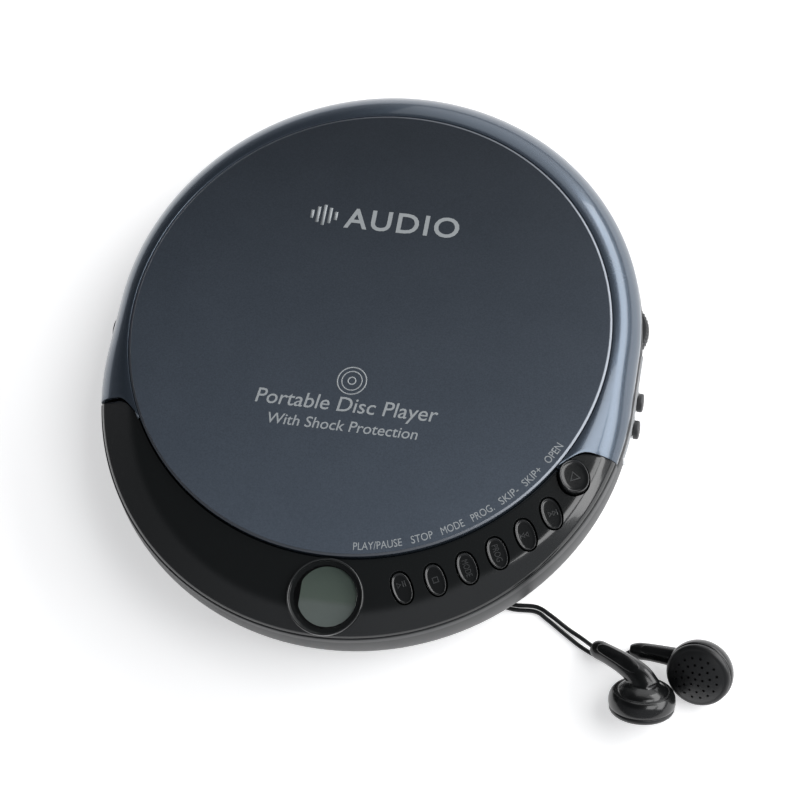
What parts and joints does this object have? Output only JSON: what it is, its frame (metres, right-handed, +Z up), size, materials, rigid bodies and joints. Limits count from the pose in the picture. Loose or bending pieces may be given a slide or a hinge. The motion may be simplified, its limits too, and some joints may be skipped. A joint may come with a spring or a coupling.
{
  "type": "portable disc player",
  "caption": "Round portable disc player with hinged lid, display and button crescent, side controls and wired earphones.",
  "frame": {"origin": "centre of the case's footprint on the surface it stands on", "axes": "+Y from the display towards the lid hinge, +X towards the volume wheel, +Z up"},
  "size_m": [0.1728, 0.1615, 0.0286],
  "materials": {
    "case_plastic": "fine satin texture",
    "deck_plastic": "fine matt texture",
    "panel_plastic": "polished",
    "key_plastic": "satin gloss",
    "lid_rim": "metallic gloss",
    "lid_inlay": "matt fine grain",
    "trim": "bright",
    "knob_plastic": "matt, ridged",
    "window": "clear",
    "display_glass": "grey green",
    "steel": "plain",
    "pickup_metal": "die cast",
    "inner_plastic": "plain",
    "circuit_board": "lacquered",
    "flex": "smooth film",
    "rubber": "matt",
    "cord": "satin",
    "bud_plastic": "satin gloss"
  },
  "bodies": {
    "player": {"bottom_shell": "case_plastic", "top_deck": "deck_plastic", "front_panel": "panel_plastic", "side_trim": "trim", "battery_contacts": "steel", "main_board": "circuit_board", "board_parts": "inner_plastic", "headphone_jack": "inner_plastic", "power_jack": "inner_plastic", "display_ring": "panel_plastic", "display_lens": "window", "lcd_panel": "display_glass", "key_board": "circuit_board", "key_switches": "inner_plastic", "slide_switches": "steel", "mech_chassis": "deck_plastic", "chassis_dampers": "rubber", "spindle_motor": "steel", "sled_motor": "steel", "guide_rods": "steel", "flat_cable": "flex", "case_screws": "steel", "rubber_feet": "rubber", "hinge_pins": "steel", "lid_spring": "steel", "volume_pot": "inner_plastic", "lid_switch": "inner_plastic", "split_piece": "cord", "plug": "bud_plastic", "cord_coil": "cord", "lead_cord": "cord", "tail_cord": "cord", "front_strand": "cord", "rear_strand": "cord", "bud_shell_front": "bud_plastic", "bud_grille_front": "bud_plastic", "bud_shell_rear": "bud_plastic", "bud_grille_rear": "bud_plastic"},
    "lid": {"lid_rim": "lid_rim", "lid_base": "lid_rim", "lid_hook": "lid_rim", "lid_plate": "lid_inlay", "lid_liner": "deck_plastic"},
    "button_play": {"button_play": "key_plastic"},
    "button_stop": {"button_stop": "key_plastic"},
    "button_mode": {"button_mode": "key_plastic"},
    "button_prog": {"button_prog": "key_plastic"},
    "button_skip_back": {"button_skip_back": "key_plastic"},
    "button_skip_forward": {"button_skip_forward": "key_plastic"},
    "open_button": {"open_button": "key_plastic"},
    "latch": {"latch_slide": "inner_plastic"},
    "volume_wheel": {"volume_wheel": "knob_plastic"},
    "bass_switch": {"bass_knob": "knob_plastic"},
    "hold_switch": {"hold_knob": "knob_plastic"},
    "spindle": {"turntable": "inner_plastic", "hub_balls": "steel"},
    "sled": {"pickup_sled": "pickup_metal"},
    "lens": {"lens_holder": "inner_plastic"},
    "lead_screw": {"lead_screw": "steel"},
    "battery_door": {"battery_door": "case_plastic"}
  },
  "joints": [
    {"name": "lid_hinge", "type": "hinge", "parent": "player", "child": "lid", "pos_m": [0, 0.072, 0.0165], "axis": [-1, 0, 0], "range_deg": [0, 75]},
    {"name": "play_press", "type": "slide", "parent": "player", "child": "button_play", "axis": [-0.0437, 0.1412, -0.989], "range_m": [0, 0.0005], "stiffness_N_per_m": 400},
    {"name": "stop_press", "type": "slide", "parent": "player", "child": "button_stop", "axis": [-0.0601, 0.135, -0.989], "range_m": [0, 0.0005], "stiffness_N_per_m": 400},
    {"name": "mode_press", "type": "slide", "parent": "player", "child": "button_mode", "axis": [-0.0755, 0.1271, -0.989], "range_m": [0, 0.0005], "stiffness_N_per_m": 400},
    {"name": "prog_press", "type": "slide", "parent": "player", "child": "button_prog", "axis": [-0.0898, 0.1174, -0.989], "range_m": [0, 0.0005], "stiffness_N_per_m": 400},
    {"name": "skip_back_press", "type": "slide", "parent": "player", "child": "button_skip_back", "axis": [-0.103, 0.106, -0.989], "range_m": [0, 0.0005], "stiffness_N_per_m": 400},
    {"name": "skip_forward_press", "type": "slide", "parent": "player", "child": "button_skip_forward", "axis": [-0.1149, 0.093, -0.989], "range_m": [0, 0.0005], "stiffness_N_per_m": 400},
    {"name": "open_press", "type": "slide", "parent": "player", "child": "open_button", "axis": [-0.1276, 0.0746, -0.989], "range_m": [0, 0.0015], "stiffness_N_per_m": 600},
    {"name": "latch_slide", "type": "slide", "parent": "player", "child": "latch", "axis": [0.8634, -0.5045, 0], "range_m": [0, 0.0015]},
    {"name": "volume_turn", "type": "hinge", "parent": "player", "child": "volume_wheel", "pos_m": [0.0614, 0.0167, 0.015], "axis": [0, 0, 1], "range_deg": [-140, 140]},
    {"name": "bass_slide", "type": "slide", "parent": "player", "child": "bass_switch", "axis": [0, 1, 0], "range_m": [0, 0.002]},
    {"name": "hold_slide", "type": "slide", "parent": "player", "child": "hold_switch", "axis": [0, 1, 0], "range_m": [0, 0.002]},
    {"name": "disc_spin", "type": "hinge", "parent": "player", "child": "spindle", "pos_m": [0, 0.0047, 0.022], "axis": [0, 0, 1], "continuous": true},
    {"name": "sled_slide", "type": "slide", "parent": "player", "child": "sled", "axis": [0, -1, 0], "range_m": [0, 0.0345]},
    {"name": "screw_turn", "type": "hinge", "parent": "player", "child": "lead_screw", "pos_m": [0.02, -0.033, 0.0115], "axis": [0, 1, 0], "range_deg": [0, 4150]},
    {"name": "focus", "type": "slide", "parent": "sled", "child": "lens", "axis": [0, 0, 1], "range_m": [-0.0005, 0.0005], "stiffness_N_per_m": 60},
    {"name": "battery_door_slide", "type": "slide", "parent": "player", "child": "battery_door", "axis": [0, 1, 0], "range_m": [0, 0.032]}
  ],
  "couplings": [
    {"joint": "latch_slide", "follows": "open_press", "ratio": 1},
    {"joint": "screw_turn", "follows": "sled_slide", "rad_per_m": 2094.4}
  ]
}
